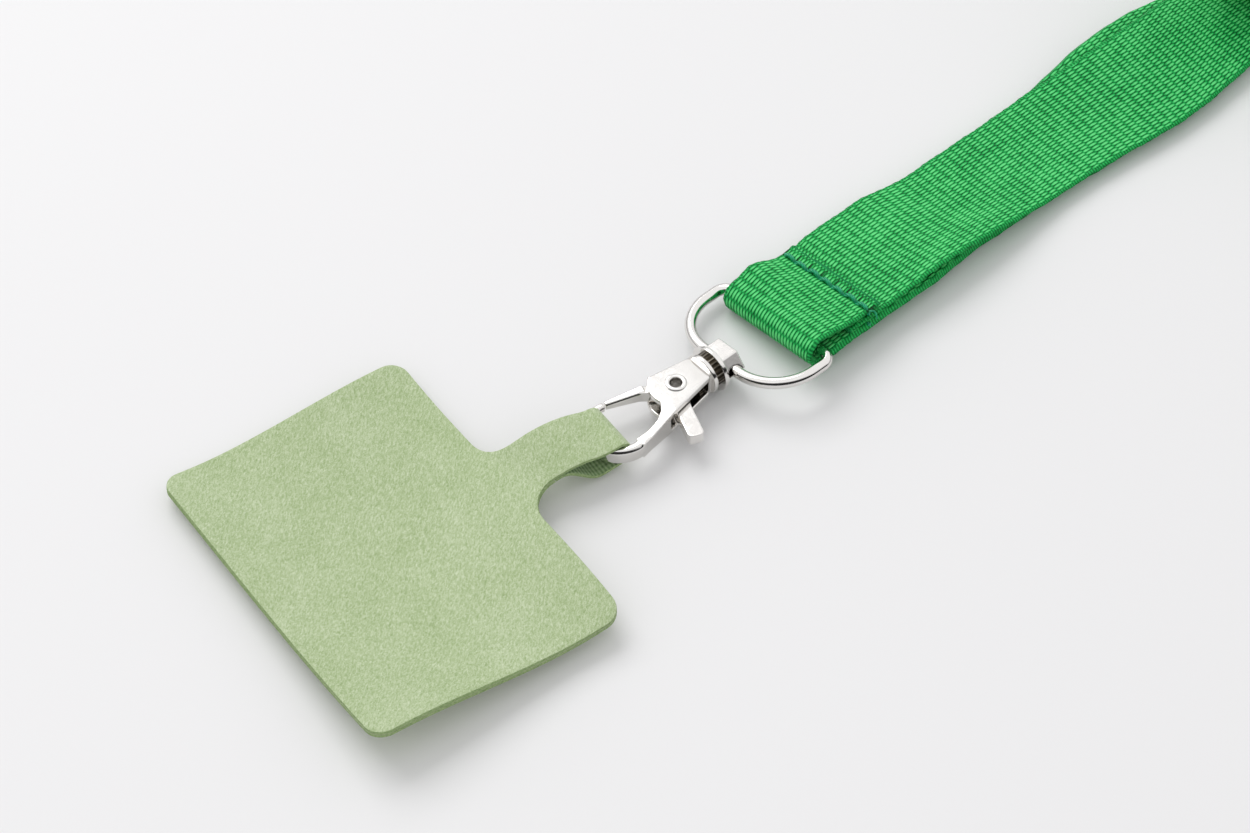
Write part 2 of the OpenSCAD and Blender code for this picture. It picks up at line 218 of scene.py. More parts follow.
class Tree:
    """A short way to write a node tree."""

    def __init__(self, tree):
        self.tree = tree

    def add(self, kind, **settings):
        node = self.tree.nodes.new("ShaderNode" + kind)
        for key, value in settings.items():
            setattr(node, key, value)
        return node

    def link(self, source, target):
        self.tree.links.new(source, target)

    def put(self, value, socket):
        """Links a socket, or sets a number on it."""
        if isinstance(value, bpy.types.NodeSocket):
            self.link(value, socket)
        else:
            socket.default_value = value

    def math(self, operation, a, b=0.0, c=0.0, clamp=False):
        node = self.add("Math", operation=operation, use_clamp=clamp)
        for value, socket in zip((a, b, c), node.inputs):
            self.put(value, socket)
        return node.outputs[0]

    def position(self):
        return self.add("NewGeometry").outputs["Position"]

    def split(self, vector):
        node = self.add("SeparateXYZ")
        self.put(vector, node.inputs[0])
        return node.outputs

    def wave(self, angle):
        """A sine between 0 and 1."""
        return self.math("MULTIPLY_ADD", self.math("SINE", angle), 0.5, 0.5)

    def colour(self, factor, stops):
        """A colour ramp: stops are (place, (red, green, blue))."""
        node = self.add("ValToRGB")
        elements = node.color_ramp.elements
        while len(elements) < len(stops):
            elements.new(0.5)
        for element, (place, rgb) in zip(elements, stops):
            element.position = place
            element.color = (*rgb, 1)
        self.put(factor, node.inputs[0])
        return node.outputs[0]

    def noise(self, vector, scale, detail=2.0, roughness=0.5, distortion=0.0):
        node = self.add("TexNoise")
        self.put(vector, node.inputs["Vector"])
        node.inputs["Scale"].default_value = scale
        node.inputs["Detail"].default_value = detail
        node.inputs["Roughness"].default_value = roughness
        node.inputs["Distortion"].default_value = distortion
        return node.outputs["Fac"]

    def bump(self, height, strength, distance):
        node = self.add("Bump")
        node.inputs["Strength"].default_value = strength
        node.inputs["Distance"].default_value = distance
        self.put(height, node.inputs["Height"])
        return node.outputs[0]

    def scaled(self, vector, x, y, z):
        node = self.add("Mapping")
        self.put(vector, node.inputs["Vector"])
        node.inputs["Scale"].default_value = (x, y, z)
        return node.outputs[0]

    def turned(self, vector, angle):
        """A vector turned about Z."""
        node = self.add("Mapping")
        self.put(vector, node.inputs["Vector"])
        node.inputs["Rotation"].default_value = (0, 0, angle)
        return node.outputs[0]

    def mixed(self, factor, a, b):
        """Colour a where factor is 0, and b where it is 1."""
        node = self.add("Mix", data_type="RGBA")
        self.put(factor, node.inputs[0])
        self.put(a if isinstance(a, bpy.types.NodeSocket) else (*a, 1), node.inputs[6])
        self.put(b if isinstance(b, bpy.types.NodeSocket) else (*b, 1), node.inputs[7])
        return node.outputs[2]


class Nodes(Tree):
    """A new material's tree, with its shader."""

    def __init__(self, name):
        self.material = bpy.data.materials.new(name)
        self.material.use_nodes = True
        super().__init__(self.material.node_tree)
        self.shader = self.tree.nodes["Principled BSDF"]

    def feed(self, name, value):
        """Links or sets one of the shader's inputs."""
        self.put(value, self.shader.inputs[name])


def add_floor():
    mesh = bpy.data.meshes.new("floor")
    half = 3
    corners = [(-half, -half, 0), (half, -half, 0), (half, half, 0), (-half, half, 0)]
    mesh.from_pydata(corners, [], [(0, 1, 2, 3)])
    floor = bpy.data.objects.new("floor", mesh)
    bpy.context.scene.collection.objects.link(floor)
    nodes = Nodes("pale_floor")
    position = nodes.position()
    shade = nodes.noise(position, 3.0)
    nodes.feed("Base Color", nodes.colour(shade, [(0.3, (0.79, 0.787, 0.79)), (0.7, (0.81, 0.807, 0.81))]))
    nodes.feed("Roughness", 0.55)
    nodes.feed("Specular IOR Level", 0.25)
    mesh.materials.append(nodes.material)


def add_area(name, place, aim, size, energy):
    data = bpy.data.lights.new(name, "AREA")
    data.shape = "RECTANGLE"
    data.size, data.size_y = size
    data.energy = energy
    light = bpy.data.objects.new(name, data)
    light.location = place
    light.rotation_mode = "QUATERNION"
    light.rotation_quaternion = (Vector(aim) - Vector(place)).to_track_quat("-Z", "Y")
    bpy.context.scene.collection.objects.link(light)


def add_world():
    """An even white room for the light, and for reflections a bright back and top over a dark front."""
    world = bpy.data.worlds.new("studio")
    world.use_nodes = True
    bpy.context.scene.world = world
    nodes = Tree(world.node_tree)
    x, y, z = nodes.split(nodes.add("TexCoord").outputs["Generated"])
    towards_x = nodes.math("MULTIPLY", x, -0.60)
    towards_y = nodes.math("MULTIPLY", y, -0.67)
    front = nodes.math("MAXIMUM", nodes.math("ADD", towards_x, towards_y), 0.0)
    height = nodes.math("MAXIMUM", nodes.math("SUBTRACT", z, front), 0.0)
    greys = [(0.0, 0.03), (0.05, 0.10), (0.20, 0.80), (0.42, 1.08)]
    reflected = nodes.colour(height, [(place, (grey, grey, grey * 1.01)) for place, grey in greys])
    path = nodes.add("LightPath")
    seen = nodes.mixed(path.outputs["Is Glossy Ray"], (0.78, 0.778, 0.785), reflected)
    seen = nodes.mixed(path.outputs["Is Camera Ray"], seen, (0.86, 0.865, 0.875))
    nodes.link(seen, nodes.tree.nodes["Background"].inputs["Color"])


def add_light():
    bpy.context.scene.view_settings.view_transform = "Standard"
    add_world()
    add_area("key", (0.14, 0.76, 0.86), (0.05, 0, 0), (0.9, 0.7), 6.0)
    add_area("fill", (-0.7, -0.1, 0.9), (0.05, 0, 0), (0.8, 0.6), 0.2)


# Materials

def lattice(nodes):
    """Where a point is on the flat webbing: millimetres along it, and across it."""
    place = nodes.add("Attribute", attribute_name="lattice").outputs["Vector"]
    along, across, _ = nodes.split(place)
    return place, along, across


def floats(nodes, along, across, shift):
    """Crowns of every second rib's floats, 1 at a crest and 0 in a gap. Their tips reach in between the
    floats of the ribs next to them. shift is 0 for the even ribs and 0.5 for the odd ones."""
    rib = nodes.math("ADD", nodes.math("DIVIDE", along, 2 * RIB), 1000.5 + shift)
    stack = nodes.math("ADD", nodes.math("DIVIDE", across, FLOAT), 1000 + shift)
    u = nodes.math("MULTIPLY_ADD", nodes.math("FRACT", rib), 2 / FLOAT_SHARE, -1 / FLOAT_SHARE)
    v = nodes.math("MULTIPLY_ADD", nodes.math("FRACT", stack), 2.0, -1.0)
    tip = nodes.math("POWER", nodes.math("ABSOLUTE", u), 2.4)
    side = nodes.math("POWER", nodes.math("ABSOLUTE", v), 2.3)
    return nodes.math("SUBTRACT", 1.0, nodes.math("MULTIPLY_ADD", side, 0.95, tip), clamp=True)


def weave_tone_and_painted_shade(nodes, place, along, across, crown, fibre):
    """Brightness of the woven face: painted highlight on the floats' crowns and painted shade in the gaps
    between them, each float a little different, and faint wide patches.
    """
    cell = nodes.add("CombineXYZ")
    nodes.link(nodes.math("FLOOR", nodes.math("DIVIDE", along, RIB)), cell.inputs[0])
    nodes.link(nodes.math("FLOOR", nodes.math("DIVIDE", across, FLOAT)), cell.inputs[1])
    pick = nodes.add("TexWhiteNoise")
    nodes.link(cell.outputs[0], pick.inputs["Vector"])
    patchy = nodes.noise(nodes.scaled(place, 0.05, 0.08, 1), 1.0, 2.0)
    tone = nodes.math("ADD", crown, nodes.math("MULTIPLY_ADD", pick.outputs["Value"], 0.20, -0.10))
    tone = nodes.math("ADD", tone, nodes.math("MULTIPLY_ADD", fibre, 0.6, -0.30))
    return nodes.math("ADD", tone, nodes.math("MULTIPLY_ADD", patchy, 0.24, -0.12), clamp=True)


def with_selvedge(nodes, face, along, across, fibre):
    """The selvedge is a finer twill than the face."""
    wide = nodes.math("ABSOLUTE", across)
    rim = nodes.math("MULTIPLY_ADD", wide, 5.0, -5.0 * (STRAP_W / 2 - SELVEDGE), clamp=True)
    twill = nodes.math("SINE", nodes.math("MULTIPLY", along, 2 * math.pi / (RIB / 3)))
    twill = nodes.math("MULTIPLY_ADD", twill, 0.22, nodes.math("MULTIPLY_ADD", fibre, 0.5, 0.2))
    tone = nodes.add("Mix", data_type="FLOAT")
    nodes.put(rim, tone.inputs[0])
    nodes.put(face, tone.inputs[2])
    nodes.put(twill, tone.inputs[3])
    return tone.outputs[0]


def needle_slit_shade(nodes, along, across):
    """1 in the short slits that the needle has cut behind its holes, and 0 elsewhere; the webbing is painted
    dark there as the shade inside the slits.
    """
    behind = TAIL_END - STITCH_X - 0.5
    reach = nodes.math("ABSOLUTE", nodes.math("SUBTRACT", along, behind))
    reach = nodes.math("MULTIPLY_ADD", reach, -1.0, 1.3, clamp=True)
    stitch = nodes.math("FRACT", nodes.math("MULTIPLY_ADD", across, 1 / STITCH, STITCHES / 2 + 10.5))
    slit = nodes.math("ABSOLUTE", nodes.math("SUBTRACT", stitch, 0.5))
    slit = nodes.math("MULTIPLY_ADD", slit, -STITCH / 0.35, 1.0, clamp=True)
    return nodes.math("MULTIPLY", slit, reach)


def webbing_material():
    nodes = Nodes("green_polyester_webbing")
    place, along, across = lattice(nodes)
    wobble = nodes.noise(nodes.scaled(place, 0.35, 0.9, 1), 1.0, 3.0)
    along = nodes.math("ADD", along, nodes.math("MULTIPLY_ADD", wobble, 0.36, -0.18))
    crown = nodes.math("MAXIMUM", floats(nodes, along, across, 0.0), floats(nodes, along, across, 0.5))
    fibre = nodes.noise(nodes.scaled(place, 1.2, 14, 1), 1.0, 3.0)
    tone = weave_tone_and_painted_shade(nodes, place, along, across, crown, fibre)
    tone = with_selvedge(nodes, tone, along, across, fibre)
    # Painted shade: the slits are darkened in the colour.
    tone = nodes.math("MULTIPLY_ADD", needle_slit_shade(nodes, along, across), -0.9, tone, clamp=True)
    # The ramp paints shade, near black, into the gaps and slits, and paints highlight, light green, on the
    # crowns.
    colour = nodes.colour(tone, [(0.0, (0.0, 0.05, 0.009)), (0.30, (0.0, 0.19, 0.034)),
                                 (0.62, (0.012, 0.44, 0.088)), (0.95, (0.13, 0.72, 0.225))])
    nodes.feed("Base Color", colour)
    height = nodes.math("MULTIPLY_ADD", fibre, 0.18, crown)
    nodes.feed("Normal", nodes.bump(height, 0.9, 0.0002))
    nodes.feed("Roughness", nodes.math("MULTIPLY_ADD", fibre, 0.2, 0.42))
    nodes.feed("Specular IOR Level", 0.15)
    return nodes.material


def sealed_material():
    """The heat-sealed end of the webbing."""
    nodes = Nodes("heat_sealed_webbing")
    position = nodes.position()
    grain = nodes.noise(position, 3200, 3.0)
    colour = nodes.colour(grain, [(0.3, (0.001, 0.12, 0.03)), (0.7, (0.012, 0.34, 0.09))])
    nodes.feed("Base Color", colour)
    nodes.feed("Normal", nodes.bump(grain, 0.6, 0.0002))
    nodes.feed("Roughness", 0.8)
    nodes.feed("Specular IOR Level", 0.2)
    return nodes.material


def thread_material():
    nodes = Nodes("teal_polyester_thread")
    place = lattice(nodes)[0]
    fibre = nodes.noise(nodes.scaled(place, 1.5, 22, 1), 1.0, 2.0)
    colour = nodes.colour(fibre, [(0.3, (0.0, 0.10, 0.04)), (0.5, (0.0, 0.31, 0.135)),
                                  (0.7, (0.02, 0.52, 0.25))])
    nodes.feed("Base Color", colour)
    nodes.feed("Normal", nodes.bump(fibre, 0.5, 0.00005))
    nodes.feed("Roughness", nodes.math("MULTIPLY_ADD", fibre, 0.2, 0.3))
    return nodes.material


def nickel_material():
    """Polished nickel plate: faint tone drift, fine wipe marks and a little orange peel."""
    grey, roughness = 0.80, 0.05
    nodes = Nodes("polished_nickel")
    position = nodes.position()
    drift = nodes.noise(position, 180, 2.0)
    light = tuple(grey * k for k in (1.0, 0.98, 0.95))
    warm = tuple(grey * k * 0.93 for k in (1.0, 0.97, 0.93))
    nodes.feed("Base Color", nodes.colour(drift, [(0.3, warm), (0.7, light)]))
    nodes.feed("Metallic", 1.0)
    wipe = nodes.noise(nodes.scaled(position, 400, 6000, 6000), 1.0, 3.0)
    nodes.feed("Roughness", nodes.math("MULTIPLY_ADD", wipe, 0.10, roughness))
    peel = nodes.noise(position, 900, 2.0)
    nodes.feed("Normal", nodes.bump(peel, 0.10, 0.00006))
    return nodes.material


def stud_painted_shade_material():
    """The swivel's stud, deep between its discs: painted dark as the shade there, with painted glints in
    ridges drawn along its axis.
    """
    nodes = Nodes("stud_painted_shade_and_glints")
    position = nodes.position()
    _, y, z = nodes.split(position)
    y = nodes.math("SUBTRACT", y, SWIVEL[1] * MM)
    z = nodes.math("SUBTRACT", z, AXIS_Z * MM)
    turn = nodes.math("ARCTAN2", z, y)
    ridges_and_glints = nodes.wave(nodes.math("MULTIPLY", turn, 26.0))
    patch = nodes.noise(nodes.scaled(position, 60, 1500, 1500), 1.0, 2.0)
    tone = nodes.math("MULTIPLY", ridges_and_glints, patch)
    # Near-black painted shade, with streaks of painted reflection where the ridges and patches are high.
    painted_shade_and_glints = [(0.15, (0.035, 0.028, 0.02)), (0.45, (0.09, 0.075, 0.055)), (0.62, (0.5, 0.46, 0.4))]
    nodes.feed("Base Color", nodes.colour(tone, painted_shade_and_glints))
    nodes.feed("Metallic", 1.0)
    nodes.feed("Roughness", nodes.math("MULTIPLY_ADD", patch, 0.2, 0.25))
    nodes.feed("Normal", nodes.bump(ridges_and_glints, 0.5, 0.0002))
    return nodes.material


def spring_material():
    nodes = Nodes("drawn_spring_wire")
    position = nodes.position()
    marks = nodes.noise(nodes.scaled(position, 900, 900, 7000), 1.0, 2.0)
    nodes.feed("Base Color", nodes.colour(marks, [(0.3, (0.34, 0.34, 0.34)), (0.7, (0.55, 0.54, 0.52))]))
    nodes.feed("Metallic", 1.0)
    nodes.feed("Roughness", nodes.math("MULTIPLY_ADD", marks, 0.2, 0.22))
    nodes.feed("Normal", nodes.bump(marks, 0.2, 0.00003))
    return nodes.material


def suede_material():
    """Brushed microfibre: a short nap of pale and dark fibres that lie roughly one way."""
    nodes = Nodes("sage_microfibre_suede")
    position = nodes.position()
    fibres = nodes.scaled(nodes.turned(position, math.radians(-38)), 1500, 3600, 3600)
    nap = nodes.noise(fibres, 1.0, 4.0, 0.65, 0.6)
    speck = nodes.noise(position, 5600, 2.0, 0.6)
    cloud = nodes.noise(position, 130, 3.0, 0.55)
    tone = nodes.math("ADD", nodes.math("MULTIPLY", nap, 0.62), nodes.math("MULTIPLY", speck, 0.30))
    tone = nodes.math("ADD", tone, nodes.math("MULTIPLY_ADD", cloud, 0.12, -0.02))
    tone = nodes.math("MULTIPLY_ADD", tone, 1.7, -0.35, clamp=True)
    colour = nodes.colour(tone, [(0.22, (0.26, 0.36, 0.155)), (0.44, (0.39, 0.49, 0.265)),
                                 (0.56, (0.47, 0.56, 0.34)), (0.78, (0.63, 0.71, 0.51))])
    nodes.feed("Base Color", colour)
    height = nodes.math("MULTIPLY_ADD", speck, 0.6, nap)
    nodes.feed("Normal", nodes.bump(height, 0.5, 0.00022))
    nodes.feed("Roughness", 0.92)
    nodes.feed("Specular IOR Level", 0.15)
    nodes.feed("Sheen Weight", 0.25)
    nodes.feed("Sheen Roughness", 0.5)
    return nodes.material


def backing_material():
    """The suede's reverse: a darker knit with fine ribs across the tab."""
    nodes = Nodes("ribbed_green_backing")
    position = nodes.position()
    x, y, _ = nodes.split(nodes.turned(position, PATCH_TURN))
    turn = 2 * math.pi / 0.00062
    rib = nodes.wave(nodes.math("MULTIPLY", x, turn))
    stitch = nodes.wave(nodes.math("MULTIPLY", y, turn * 0.8))
    fuzz = nodes.noise(position, 3000, 3.0)
    tone = nodes.math("ADD", nodes.math("MULTIPLY", rib, 0.45), nodes.math("MULTIPLY", stitch, 0.2))
    tone = nodes.math("MULTIPLY_ADD", fuzz, 0.35, tone)
    colour = nodes.colour(tone, [(0.15, (0.12, 0.20, 0.08)), (0.5, (0.24, 0.36, 0.16)),
                                 (0.9, (0.40, 0.52, 0.29))])
    nodes.feed("Base Color", colour)
    nodes.feed("Normal", nodes.bump(tone, 0.7, 0.00018))
    nodes.feed("Roughness", 0.85)
    nodes.feed("Sheen Weight", 0.1)
    return nodes.material


def edge_material():
    """The cut edge of the suede: matted fibres, darker than the face."""
    nodes = Nodes("cut_suede_edge")
    position = nodes.position()
    grain = nodes.noise(nodes.scaled(position, 2500, 2500, 5000), 1.0, 3.0)
    colour = nodes.colour(grain, [(0.3, (0.17, 0.26, 0.09)), (0.7, (0.36, 0.47, 0.23))])
    nodes.feed("Base Color", colour)
    nodes.feed("Normal", nodes.bump(grain, 0.6, 0.0002))
    nodes.feed("Roughness", 0.9)
    return nodes.material


def film_material():
    nodes = Nodes("hot_melt_film")
    position = nodes.position()
    grain = nodes.noise(position, 2400, 2.0)
    colour = nodes.colour(grain, [(0.3, (0.30, 0.34, 0.20)), (0.7, (0.46, 0.50, 0.34))])
    nodes.feed("Base Color", colour)
    nodes.feed("Normal", nodes.bump(grain, 0.3, 0.0001))
    nodes.feed("Roughness", 0.5)
    return nodes.material


# Mesh helpers

def make_piece(name, points, faces, materials, face_material=None):
    """An object from points in millimetres in the part's frame."""
    mesh = bpy.data.meshes.new(name)
    mesh.from_pydata((np.asarray(points, float) * MM).tolist(), [], faces)
    for material in materials:
        mesh.materials.append(material)
    if face_material is not None:
        mesh.polygons.foreach_set("material_index", np.asarray(face_material, np.int32))
    mesh.polygons.foreach_set("use_smooth", np.ones(len(mesh.polygons), bool))
    mesh.update()
    piece = bpy.data.objects.new(name, mesh)
    bpy.context.scene.collection.objects.link(piece)
    return piece


def set_lattice(piece, values):
    attribute = piece.data.attributes.new("lattice", "FLOAT_VECTOR", "POINT")
    attribute.data.foreach_set("vector", np.asarray(values, np.float32).ravel())


def grid_faces(rows, columns, closed_rows=False, closed_columns=False, first=0):
    """Quads of a grid whose points are stored row by row."""
    faces = []
    for i in range(rows if closed_rows else rows - 1):
        a, b = first + i * columns, first + (i + 1) % rows * columns
        for j in range(columns if closed_columns else columns - 1):
            k = (j + 1) % columns
            faces.append((a + j, a + k, b + k, b + j))
    return faces


def directions(path, closed=False):
    path = np.asarray(path, float)
    if closed:
        step = np.roll(path, -1, 0) - np.roll(path, 1, 0)
    else:
        step = np.gradient(path, axis=0)
    return step / np.linalg.norm(step, axis=1, keepdims=True)


def carried_frames(path, closed=False):
    """Two directions across a path that turn as little as they can along it."""
    along = directions(path, closed)
    side = np.cross(along[0], [0, 0, 1.0])
    if np.linalg.norm(side) < 1e-3:
        side = np.cross(along[0], [0, 1.0, 0])
    sides = []
    for d in along:
        side = side - d * (side @ d)
        side = side / np.linalg.norm(side)
        sides.append(side)
    sides = np.array(sides)
    return sides, np.cross(along, sides)


def tube(path, radius, sides=16, closed=False):
    """Points, faces and lattice values of a round tube. radius is a number or one for each point."""
    path = np.asarray(path, float)
    u, v = carried_frames(path, closed)
    angle = np.arange(sides) * 2 * math.pi / sides
    radius = np.broadcast_to(np.asarray(radius, float), (len(path),))[:, None, None]
    c, s = np.cos(angle)[:, None], np.sin(angle)[:, None]
    rings = path[:, None] + radius * (c * u[:, None] + s * v[:, None])
    values = np.stack([np.broadcast_to(line_length(path)[:, None], rings.shape[:2]),
                       np.broadcast_to((angle / 6.3)[None], rings.shape[:2]), np.zeros(rings.shape[:2])], -1)
    faces = grid_faces(len(path), sides, closed, True)
    if not closed:
        faces.append(tuple(range(sides)))
        last = (len(path) - 1) * sides
        faces.append(tuple(range(last + sides - 1, last - 1, -1)))
    return rings.reshape(-1, 3), faces, values.reshape(-1, 3)


def joined(parts):
    """Several (points, faces, values) as one."""
    points, faces, values, first = [], [], [], 0
    for part in parts:
        points.append(part[0])
        values.append(part[2])
        faces += [tuple(i + first for i in face) for face in part[1]]
        first += len(part[0])
    return np.concatenate(points), faces, np.concatenate(values)


def face_outwards(piece):
    """Turns every closed shell's faces outwards."""
    shape = bmesh.new()
    shape.from_mesh(piece.data)
    bmesh.ops.recalc_face_normals(shape, faces=shape.faces)
    shape.to_mesh(piece.data)
    shape.free()


def with_modifiers_applied(piece):
    """Replaces a piece's mesh by what its modifiers make of it."""
    graph = bpy.context.evaluated_depsgraph_get()
    made = piece.evaluated_get(graph)
    mesh = bpy.data.meshes.new_from_object(made, preserve_all_data_layers=True, depsgraph=graph)
    piece.modifiers.clear()
    piece.data = mesh


def cast_piece(name, points, faces, voxel, smoothing, material):
    """Overlapping closed shells, in millimetres, as one casting with its edges rounded off."""
    mesh = bpy.data.meshes.new(name)
    mesh.from_pydata([tuple(p) for p in points], [], faces)
    piece = bpy.data.objects.new(name, mesh)
    bpy.context.scene.collection.objects.link(piece)
    face_outwards(piece)
    remesh = piece.modifiers.new("solid", "REMESH")
    remesh.mode = "VOXEL"
    remesh.voxel_size = voxel
    polish = piece.modifiers.new("polish", "SMOOTH")
    polish.factor = 0.5
    polish.iterations = smoothing
    with_modifiers_applied(piece)
    piece.data.transform(Matrix.Scale(MM, 4))
    piece.data.materials.clear()
    piece.data.materials.append(material)
    piece.data.polygons.foreach_set("use_smooth", np.ones(len(piece.data.polygons), bool))
    piece.data.update()
    return piece


def node_shell(node):
    """A CAD node's mesh as welded points and faces, in millimetres."""
    shape = bmesh.new()
    shape.from_mesh(frame["nodes"][node].data)
    bmesh.ops.remove_doubles(shape, verts=shape.verts, dist=1e-7)
    shape.verts.ensure_lookup_table()
    points = [tuple(vert.co / MM) for vert in shape.verts]
    faces = [tuple(vert.index for vert in face.verts) for face in shape.faces]
    shape.free()
    return points, faces


# Strap

def far(x):
    """1 where the strap lies tilted, on its far stretch."""
    return bump_between(x, (FAR_FROM, ROLL_X - 38), (ROLL_X - 36, ROLL_X - 12))


def roll_at(x):
    return FAR_TILT * far(x) - RING_ROLL * (1 - between(x, STITCH_X + 4, FLAT_X))


def under(x):
    """Height of the strap's underside: its lower edge is on the floor, and the sewn end is a little above."""
    tilted = STRAP_W / 2 * np.sin(np.abs(roll_at(x)))
    return FLOOR_GAP + tilted + EDGE_LIFT * (1 - between(x, STITCH_X, FLAT_X))


def lower_z(x):
    return mix(AXIS_Z - WRAP_R, under(x) + STRAP_T / 2, between(x, BAR_X, STITCH_X - 1))


def upper_z(x):
    return under(x) + STRAP_T / 2 + LAYER


def tail_z(x):
    return mix(AXIS_Z + WRAP_R, under(x) + STRAP_T / 2 + 2 * LAYER, between(x, BAR_X, STITCH_X - 1))


def roll_layer(phi, inner):
    """A point of the rolled-up strap: phi grows inwards from the bottom of the roll."""
    radius = ROLL_R - STRAP_T / 2 - LAYER * phi / math.pi - (LAYER if inner else 0)
    centre = np.array([ROLL_X, ROLL_R + FLOOR_GAP])
    return centre + np.stack([radius * np.sin(phi), -radius * np.cos(phi)], -1)


def strap_line(turns):
    """The webbing's middle line in the plane of its length, from the sewn tail to the upper leg's end.
    Returns points and, for each, its layer (0 tail and fold, 1 lower, 2 upper) and whether it's rolled up."""
    tail_x = np.linspace(TAIL_END, BAR_X, 120)
    tail = np.stack([tail_x, tail_z(tail_x)], -1)
    angle = np.radians(np.linspace(90, 270, 90))[1:]
    fold = np.stack([BAR_X + WRAP_R * np.cos(angle), AXIS_Z + WRAP_R * np.sin(angle)], -1)
    lower_x = np.linspace(BAR_X, ROLL_X, 900)[1:]
    lower = np.stack([lower_x, lower_z(lower_x)], -1)
    phi_end = turns * 2 * math.pi
    phi = np.linspace(0, phi_end, int(phi_end * 60))[1:]
    outer = roll_layer(phi, False)
    inner = roll_layer(phi[::-1], True)
    beta = np.linspace(0, math.pi, 60)[1:-1, None]
    out = (outer[-1] - inner[0]) / np.linalg.norm(outer[-1] - inner[0])
    ahead = np.array([-out[1], out[0]])
    turn = (outer[-1] + inner[0]) / 2 + LAYER / 2 * (out * np.cos(beta) + ahead * np.sin(beta))
    upper_x = np.linspace(ROLL_X, UPPER_START, 900)
    upper = np.stack([upper_x, upper_z(upper_x)], -1)
    parts = [tail, fold, lower, outer, turn, inner, upper]
    layer = np.concatenate([np.full(len(p), k) for p, k in zip(parts, (0, 0, 1, 1, 1.5, 2, 2))])
    wound = np.concatenate([np.full(len(p), k) for p, k in zip(parts, (0, 0, 0, 1, 1, 1, 0))])
    return np.concatenate(parts), layer, wound


def line_length(line):
    return np.concatenate([[0], np.cumsum(np.linalg.norm(np.diff(line, axis=0), axis=1))])


def turns_for(length):
    """How many turns the roll needs for the strap to have its whole length."""
    few, many = 3.0, 5.6
    for _ in range(30):
        middle = (few + many) / 2
        if line_length(strap_line(middle)[0])[-1] < length:
            few = middle
        else:
            many = middle
    return few


def strap_stations(run):
    """Places along the strap that get a section: four to a rib where the weave shows, fewer elsewhere."""
    stations = [0.0]
    inside_roll = 2.4
    fold_end = TAIL_END - BAR_X + math.pi * WRAP_R
    roll_start = fold_end + ROLL_X - BAR_X
    total = run[-1]
    upper_start = total - (ROLL_X - UPPER_START)
    first_turn = roll_start + 2 * math.pi * (ROLL_R - 1)
    while stations[-1] < total - 0.2:
        s = stations[-1]
        if s < fold_end + 9 or s > upper_start + 20:
            step = RIB / 4
        elif s < first_turn or s > upper_start:
            step = RIB / 2
        else:
            step = inside_roll
        stations.append(min(total, s + step))
    return np.array(stations)


def ripple(a, b, seed):
    """Smooth, repeatable unevenness between about -1 and 1."""
    angles = a * 0.31 + seed, a * 0.83 + b * 0.4 + 2 * seed, b * 0.9 - a * 0.17 + seed * 3
    return sum(np.sin(angle) for angle in angles) / 3


def web_profile(stations):
    """The webbing laid flat: a ring of places for each station, woven face first, then the back. Returns
    their lattice values, how far across they are with the selvedge's knots, and their height."""
    half = STRAP_W / 2
    face_y = np.linspace(-half, half, round(STRAP_W / YARN) + 1)
    back_y = np.linspace(half, -half, 31)[1:-1]
    side = np.concatenate([np.ones(len(face_y)), -np.ones(len(back_y))])
    s, y = np.meshgrid(stations, np.concatenate([face_y, back_y]), indexing="ij")
    side = np.broadcast_to(side, s.shape)

    # Weave relief: neighbouring yarns go over and under in turn
    yarn = np.round((y + half) / YARN)
    wave = np.cos(math.pi * s / RIB) * np.where(yarn % 2 == 0, 1, -1)
    relief = RELIEF * (np.sign(wave) * np.abs(wave) ** 0.6 - 1) / 2
    relief = np.where(side > 0, relief, 0)

    # Selvedge: the webbing thins to a row of small knots along each edge
    edge = np.clip((np.abs(y) - (half - THIN_EDGE)) / THIN_EDGE, 0, 1)
    thick = (STRAP_T / 2 + relief) * np.sqrt(1 - 0.75 * edge ** 2)
    knots = 0.04 * np.cos(2 * math.pi * s / RIB) * edge + 0.12 * ripple(s, 0, 4) * edge
    wide = y * (1 + 0.004 * ripple(s, 0, 1)) + np.sign(y) * knots
    return np.stack([s, y, side], -1), wide, side * thick


def strayed(x, z, wide, values, on_layer, on_leg):
    """Where the strap strays from a flat run: new places across and heights."""
    half = STRAP_W / 2
    s, y = values[..., 0], values[..., 1]
    lower = np.clip(1 - np.abs(on_layer - 1), 0, 1)
    upper = np.clip(on_layer - 1, 0, 1)
    on_top = (on_layer < 0.5) & (z > AXIS_Z)
    dent = np.exp(-((x - STITCH_X) / 0.5) ** 2) * (np.abs(y) < STITCHES * STITCH / 2 - 0.5)
    z = z - np.where(on_top, TAIL_DENT, np.where(upper > 0.5, LEG_DENT, 0)) * dent
    z = z + np.where(on_top, TAIL_LIFT * between(x, STITCH_X + 0.4, TAIL_END), 0)
    z = z + np.where(on_top, BULGE * bump_between(x, *BULGE_X) * between(y, -3, half), 0)
    z = z + SLACK * bump_between(x, *SLACK_X) * between(-y, 0, half) * upper
    left = LEFT_OUT * bump_between(x, *LEFT_OUT_X) * between(y, -half, half)
    wide = wide + left * (lower + upper)
    right = RIGHT_IN * bump_between(x, *RIGHT_IN_X) * between(-y, -half, half)
    apart = sum(gap * between(x, *span) for gap, span in zip(APART, APART_X))
    wide = wide + (apart * (1 - between(x, BACK_FROM, ROLL_X)) + right) * lower * on_leg
    # Gentle unevenness of a strap that has been rolled up
    uneven = between(x, STITCH_X + 6, STITCH_X + 20) * upper
    return wide, z + 0.10 * ripple(s * 0.4, y * 0.5, 2) * uneven


